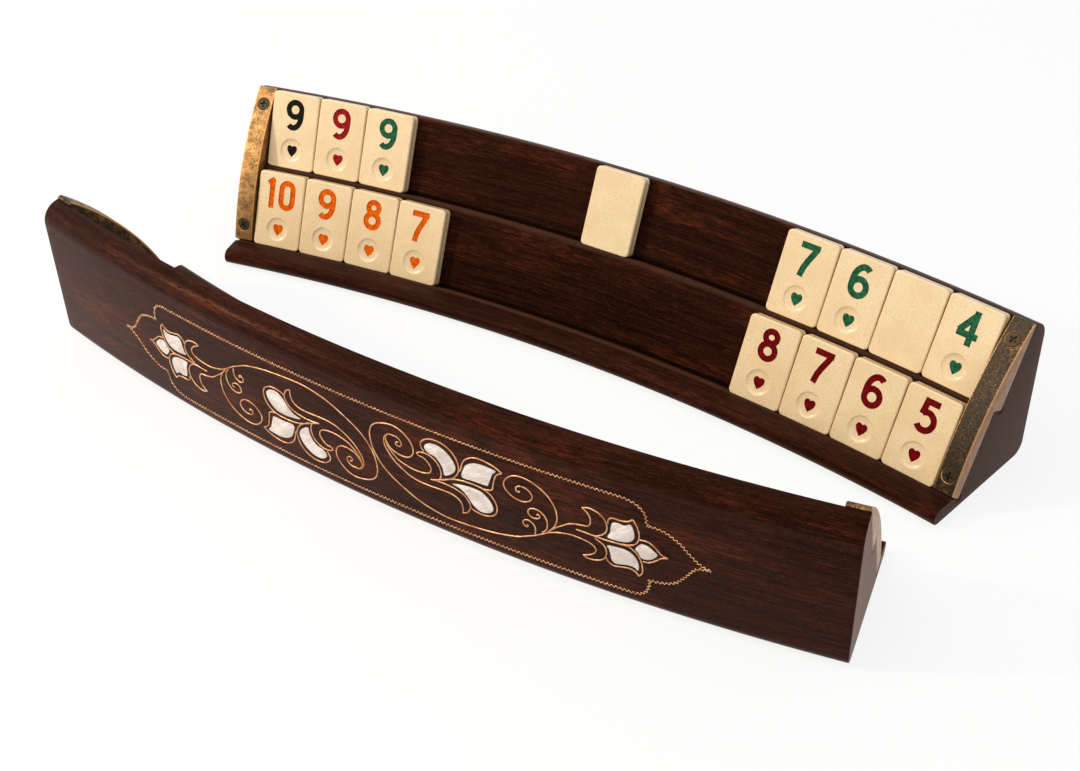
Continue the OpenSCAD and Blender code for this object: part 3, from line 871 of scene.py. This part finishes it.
tube = start.node("GeometryNodeSetPosition", {}, {
    "Geometry": tube, "Position": bend_to_rack(
        along * (given["Ledge radius"] / (given["Ledge radius"] + given["Back"])),
        out + given["Back"], up, given)})
end_tree(tube, given["Finish"])


def copper(start):
    place = object_place(start)
    tarnish = noise(start, place, (260, 260, 260), 4.0, 0.6)
    hammer = noise(start, place, (1500, 1500, 1500), 2.0)
    return {"Base Color": blend_colour(step_between(tarnish, 0.3, 0.7), tint("b9764a"),
                                       tint("e9b98b")),
            "Metallic": 0.8, "Roughness": 0.28 + tarnish * 0.2,
            "Normal": bump(hammer, 0.4, 0.0002)}


copper_finish = finish_of("copper_wire_metal", copper)
wire_sink = 0.00005     # how far the middle of the wire lies under the back face
for rack in RACKS:
    for name, paths, radius, spacing, zigzag, length, sides in (
        ("frame", BORDER, 0.00023, 0.00045, 0.0006, 0.0018, 5),
        ("stems", STEMS, 0.00033, 0.0006, 0.0, 0.002, 7),
    ):
        flat = path_mesh(name, both_halves([smooth_path(path, 8) for path in paths]))
        piece = shaped(f"{rack}_wire_{name}", flat, wire_tree, {
            "Wire radius": radius, "Point spacing": spacing, "Zigzag": zigzag,
            "Zigzag length": length, "Sides": sides, "Back": back_out / 1000 - wire_sink,
            "Finish": copper_finish, **rack_values(rack)})
        piece.data.shade_smooth()
        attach(piece, rack + "_rack")
        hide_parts(rack + "_wire_inlay")


# ---- Pearl leaves ----
# The leaves inside the tulip outlines are thin plates of mother-of-pearl, let into the back in
# dark filler that shows as a fine line round each.
LEAVES = [
    # inner tulip
    [(37.8, 30.9), (40.5, 31.5), (42.5, 32.5), (44.7, 34.8), (46.4, 37.3), (48.7, 39.2),
     (51, 39.7), (53.6, 39), (55.5, 37.3), (55.8, 35.3), (54.9, 33), (52.9, 30.7), (50.4, 29.3),
     (46.4, 29), (42.5, 29.5), (39.8, 30.1)],
    [(53.3, 25), (54.3, 23.7), (55.3, 20.7), (56.3, 18), (57.7, 16.1), (54.3, 15.5), (51, 15.5),
     (47.7, 16.3), (45, 18), (43.5, 20.3), (42.3, 25.3), (47.7, 25.2)],
    [(34.3, 27.9), (37.1, 26.3), (39.1, 24), (39.5, 21.3), (38.1, 18.3), (35.5, 15.7),
     (31.9, 14.1), (28.2, 14.5), (25.9, 16.3), (25.8, 18.3), (27.6, 19.7), (30.2, 20.2),
     (32.2, 22), (33.6, 24.7)],
    # outer tulip
    [(116.9, 41.7), (115.5, 40.7), (113, 40.5), (110.4, 41.2), (107.7, 41.7), (106.2, 40.3),
     (105.7, 38), (105.2, 35.7), (104.4, 34), (107.7, 33.3), (111.6, 33.2), (114.5, 34.3),
     (116.5, 36.7), (117.2, 39.3)],
    [(111, 29.5), (113.6, 28.3), (115.1, 26), (114.9, 22.7), (113.6, 20), (111.3, 21.3),
     (108.7, 21.1), (106.5, 21.7), (105.8, 24), (105.5, 27), (104.5, 29.7), (107.7, 30)],
    [(124.4, 31), (122.3, 33.7), (120.1, 34.8), (118.1, 34.7), (116.9, 32.7), (115.7, 31.3),
     (116.9, 29), (118.4, 27.7), (120.7, 28), (122.7, 29.3)],
]


def anticlockwise(outline):
    area = sum(one.x * two.y - two.x * one.y
               for one, two in zip(outline, outline[1:] + outline[:1]))
    return outline if area > 0 else outline[::-1]


def inset(outline, amount):
    """An anticlockwise outline moved inward by amount."""
    moved = []
    for index, point in enumerate(outline):
        way = (outline[(index + 1) % len(outline)] - outline[index - 1]).normalized()
        moved.append(point + Vector((-way.y, way.x)) * amount)
    return moved


def bent_plates(name, rack, outlines, proud, bevel, finish):
    """Thin plates on the back face, with outlines drawn on the straight back."""
    axis, turn = RACKS[rack]
    sunk = -0.6
    shape = bmesh.new()
    for outline in outlines:
        rings = []
        for edge, height in ((0, sunk), (0, proud - bevel), (bevel * 0.3, proud - bevel * 0.3),
                             (bevel, proud)):
            reach = (back_radius + height) / 1000
            rings.append([])
            for point in inset(outline, edge):
                angle = point.x / back_radius
                local = Vector((reach * math.sin(angle), reach * math.cos(angle), point.y / 1000))
                place = Matrix.Rotation(turn, 3, "Z") @ local + axis / 1000
                rings[-1].append(shape.verts.new(place))
        skin(shape, rings)
    piece = solid(name, shape, finish)
    mark_grain(piece, rack, 50)
    return piece


def pearl(start):
    grain = stored(start, "grain")
    cloud = noise(start, grain, (110, 110, 160), 3.0)
    lines = noise(start, start.node("ShaderNodeVectorRotate", {"rotation_type": "Y_AXIS"}, {
        "Vector": grain, "Angle": 0.9}), (1500, 300, 190), 3.0, 0.6)
    colour = blend_colour(step_between(cloud, 0.35, 0.65), tint("cdbfb6"), tint("e9e2d8"))
    colour = blend_colour(step_between(lines, 0.45, 0.65) * 0.6, colour, tint("b3a096"))
    return {"Base Color": colour, "Roughness": 0.2 + lines * 0.14, "Coat Weight": 0.2,
            "Coat Roughness": 0.1, "Normal": bump(cloud + lines * 0.3, 0.25, 0.0004)}


pearl_finish = finish_of("mother_of_pearl", pearl)
filler_finish = speckled("dark_filler", 2500, (2.0,), ("070404", "1c110d"), (0.6, 0.2),
                         (0.3, 0.0002))
filler_width = 0.4
for rack in RACKS:
    leaves = [anticlockwise(leaf) for leaf in both_halves(
        [smooth_path(leaf, 5, closed=True) for leaf in LEAVES])]
    pearls = bent_plates(rack + "_pearl_leaves", rack, leaves, 0.2, 0.15, pearl_finish)
    beds = bent_plates(rack + "_leaf_filler", rack,
                       [inset(leaf, -filler_width) for leaf in leaves], 0.03, 0.02,
                       filler_finish)
    for piece, slot in ((pearls, "pearl"), (beds, "dark_wood")):
        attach(piece, rack + "_rack")
    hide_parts(rack + "_pearl_inlay")


# ---- Tiles ----
# Each tile is a moulded plastic block with softened edges. The number is engraved and filled
# with paint. Below it a round dish holds a small heart in the same paint. Two tiles are blank.
tile_width, tile_height, tile_depth, tile_corner, tile_edge = 24.7, 36.5, 5.6, 2.0, 0.7
numeral_up, stroke, groove, heart_groove, cut_start = 26.1, 2.75, 0.35, 0.12, 1.0
dish_up, dish_depth = 9.0, 0.8
mottle_step = 0.05       # moves the mottling from tile to tile


def arc(centre, width, height, first, last, steps=20):
    """Points on an ellipse from one angle to another, in degrees."""
    return [(centre[0] + width * math.cos(math.radians(first + (last - first) * step / steps)),
             centre[1] + height * math.sin(math.radians(first + (last - first) * step / steps)))
            for step in range(steps + 1)]


def turned_over(strokes):
    return [([(-x, -y) for x, y in path], closed) for path, closed in strokes]


NINE = [(arc((0, 2.7), 3.45, 3.45, 0, 360, 32)[:-1], True),
        ([(3.45, 2.7), (3.45, 0.6)] + arc((-0.55, -0.1), 4.0, 6.0, 0, -125, 24), False)]
NUMERALS = {
    "4": [([(1.5, 7.3), (1.5, -7.3)], False), ([(1.9, 6.3), (-3.9, -2.3)], False),
          ([(-4.7, -2.95), (4.5, -2.95)], False)],
    "5": [([(3.6, 6.0), (-2.4, 6.0)], False), ([(-1.9, 7.3), (-2.7, 0.2)], False),
          (arc((-0.35, -2.2), 3.7, 3.8, 130, -146, 28), False)],
    "6": turned_over(NINE),
    "7": [([(-4.5, 6.0), (4.4, 6.0)], False),
          ([(3.3, 6.6), (2.2, 3.6), (0.4, 0), (-0.9, -3.4), (-1.6, -7.3)], False)],
    "8": [(arc((0, 3.45), 2.75, 2.55, 0, 360, 30)[:-1], True),
          (arc((0, -2.75), 3.35, 3.25, 0, 360, 32)[:-1], True)],
    "9": NINE,
    "10": [([(-4.8, 7.3), (-4.8, -7.3)], False), ([(-3.9, 6.9), (-7.0, 4.6)], False),
           (arc((3.45, 2.95), 3.05, 3.05, 0, 180, 14)
            + arc((3.45, -2.95), 3.05, 3.05, 180, 360, 14), True)],
}
HEART = [(0, -3.2), (0.8, -2.4), (1.8, -1.3), (2.5, -0.1), (2.7, 1.1), (2.2, 2.1), (1.3, 2.45),
         (0.5, 2.25), (0, 1.85)]


def prism(shape, outline, front, back):
    """A solid with this outline between two depths. The outline runs anticlockwise."""
    skin(shape, [[shape.verts.new((x / 1000, depth / 1000, y / 1000)) for x, y in outline]
                 for depth in (back, front)])


def stroke_solid(shape, path, closed, width, front, back):
    """A band of even width along a path, as solid pieces that meet along the path."""
    path = [Vector(point) for point in path]
    count = len(path)
    sides = []
    for index, point in enumerate(path):
        before = path[index - 1] if closed or index else point
        after = path[(index + 1) % count] if closed or index < count - 1 else point
        way = (after - before).normalized()
        across = Vector((-way.y, way.x)) * width / 2
        sides.append([shape.verts.new((place.x / 1000, depth / 1000, place.y / 1000))
                      for place in (point + across, point - across) for depth in (front, back)])
    for index in range(count if closed else count - 1):
        one, two = sides[index], sides[(index + 1) % count]
        for a, b, c, d in ((0, 2, 2, 0), (3, 1, 1, 3), (1, 0, 0, 1), (2, 3, 3, 2)):
            shape.faces.new((one[a], one[b], two[c], two[d]))
    if not closed:
        shape.faces.new([sides[0][index] for index in (0, 1, 3, 2)])
        shape.faces.new([sides[-1][index] for index in (2, 3, 1, 0)])


def tile_block(name, finish):
    """The plain block, centred across, with its face at -Y and its foot at the origin."""
    side = tile_width / 2
    outline = rounded([((x, y), tile_corner) for x, y in (
        (-side, 0), (side, 0), (side, tile_height), (-side, tile_height))], 8)
    steps = 5
    levels = [(tile_edge * (1 - math.sin(turn)), tile_edge * (1 - math.cos(turn)))
              for turn in (math.pi / 2 * step / steps for step in range(steps + 1))]
    levels = [(edge, -depth) for edge, depth in levels] + [
        (edge, depth - tile_depth) for edge, depth in levels[::-1]]
    shape = bmesh.new()
    skin(shape, [[shape.verts.new((place.x / 1000, depth / 1000, place.y / 1000))
                  for place in inset(outline, edge)] for edge, depth in levels])
    return solid(name, shape, finish)


def ivory_plastic(start):
    local = stored(start, "tile")
    clouds = noise(start, local, (90, 90, 90), 3.0)
    specks = noise(start, local, (1400, 1400, 1400), 3.0, 0.65)
    depth = local.part(1)
    colour = blend_colour(step_between(clouds, 0.3, 0.7), tint("eacfa2"), tint("f1d8ae"))
    colour = blend_colour(step_between(specks, 0.42, 0.68) * 0.5, colour, tint("d4b07c"))
    # painted shade: a darker line round the tile's sides a little behind its face
    line = step_between(depth, -0.0042, -0.0039) * (1 - step_between(depth, -0.0034, -0.0031))
    colour = blend_colour(line * 0.8, colour, tint("9a7d4c"))
    return {"Base Color": colour, "Roughness": 0.2 + specks * 0.12, "Specular IOR Level": 0.5,
            "Normal": bump(specks, 0.12, 0.0001)}


def paint(name, main, deep):
    def recipe(start):
        mottle = noise(start, object_place(start), (700, 700, 700), 3.0, 0.6)
        return {"Base Color": blend_colour(step_between(mottle, 0.35, 0.7), deep, main),
                "Roughness": 0.35 + mottle * 0.15, "Specular IOR Level": 0.05,
                "Normal": bump(mottle, 0.2, 0.0001)}
    return finish_of(name, recipe)


ivory = finish_of("ivory_plastic", ivory_plastic)
# The shaded red is the red paint made darker: painted shade for the tiles at the right end.
PAINTS = {colour: paint(colour + "_paint", tint(main), tint(deep)) for colour, main, deep in (
    ("black", "241c16", "0e0906"), ("red", "a61c1a", "7a0e0c"), ("green", "2c6a48", "154a2e"),
    ("orange", "ee6c06", "c84c02"), ("crimson", "80060e", "560206"))}
TILES = ("black_9", "red_9", "green_9", "orange_10", "orange_9", "orange_8", "orange_7",
         "blank_left", "green_7", "green_6", "blank_right", "green_4", "red_8", "red_7", "red_6",
         "red_5")
DISH = [(0, -1.0), (5.8, -1.0), (5.8, -0.02), (5.65, 0.14), (5.25, 0.4), (4.7, 0.6),
        (4.0, 0.72), (3.0, 0.77), (1.8, 0.79), (0, dish_depth)]
heart = [(x, y + dish_up) for x, y in HEART + [(-x, y) for x, y in HEART[-2:0:-1]]]

rear_axis = RACKS["rear"][0] / 1000
for number, tile in enumerate(TILES):
    node = "tile_" + tile
    colour, numeral = tile.split("_")
    if colour == "red" and numeral != "9":      # the reds at the right end get a darker copy of the red paint, as painted shade
        colour = "crimson"
    piece = tile_block(node + "_moulding", ivory)
    if colour in PAINTS:
        dish = turned_solid("dish", DISH, 64, ivory)
        dish.data.transform(Matrix.Translation((0, -tile_depth / 1000, dish_up / 1000))
                            @ Matrix.Rotation(-math.pi / 2, 4, "X"))
        cut_away(piece, [dish])
        shape = bmesh.new()
        for path, closed in NUMERALS[numeral]:
            stroke_solid(shape, [(x, y + numeral_up) for x, y in path], closed, stroke,
                         -tile_depth - cut_start, -tile_depth + groove)
        prism(shape, heart, -tile_depth - cut_start, -tile_depth + dish_depth + heart_groove)
        cut_away(piece, [solid("figures", shape, PAINTS[colour])], self_crossing=True)
    mesh = piece.data
    local = mesh.attributes.new("tile", "FLOAT_VECTOR", "POINT")
    for vertex, value in zip(mesh.vertices, local.data):
        value.vector = vertex.co + Vector((number * mottle_step, 0, 0))
    mesh.shade_smooth()
    mesh.set_sharp_from_angle(angle=math.radians(28))
    shape = bmesh.new()
    shape.from_mesh(mesh)
    for edge in shape.edges:        # the flat face and the cuts' floors stay flat to their rims
        flat = [abs(face.normal.y) > 0.9999 for face in edge.link_faces]
        if any(flat) and not all(flat):
            edge.smooth = False
    shape.to_mesh(mesh)
    shape.free()
    low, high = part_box(node)
    centre = (low + high) / 2
    angle = math.atan2(centre.x - rear_axis.x, centre.y - rear_axis.y)
    mesh.transform(Matrix.Translation(centre) @ Matrix.Rotation(-angle, 4, "Z")
                   @ Matrix.Rotation(-lean, 4, "X")
                   @ Matrix.Translation((0, tile_depth / 2000, -tile_height / 2000)))
    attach(piece, node + "_piece")
    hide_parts(node)
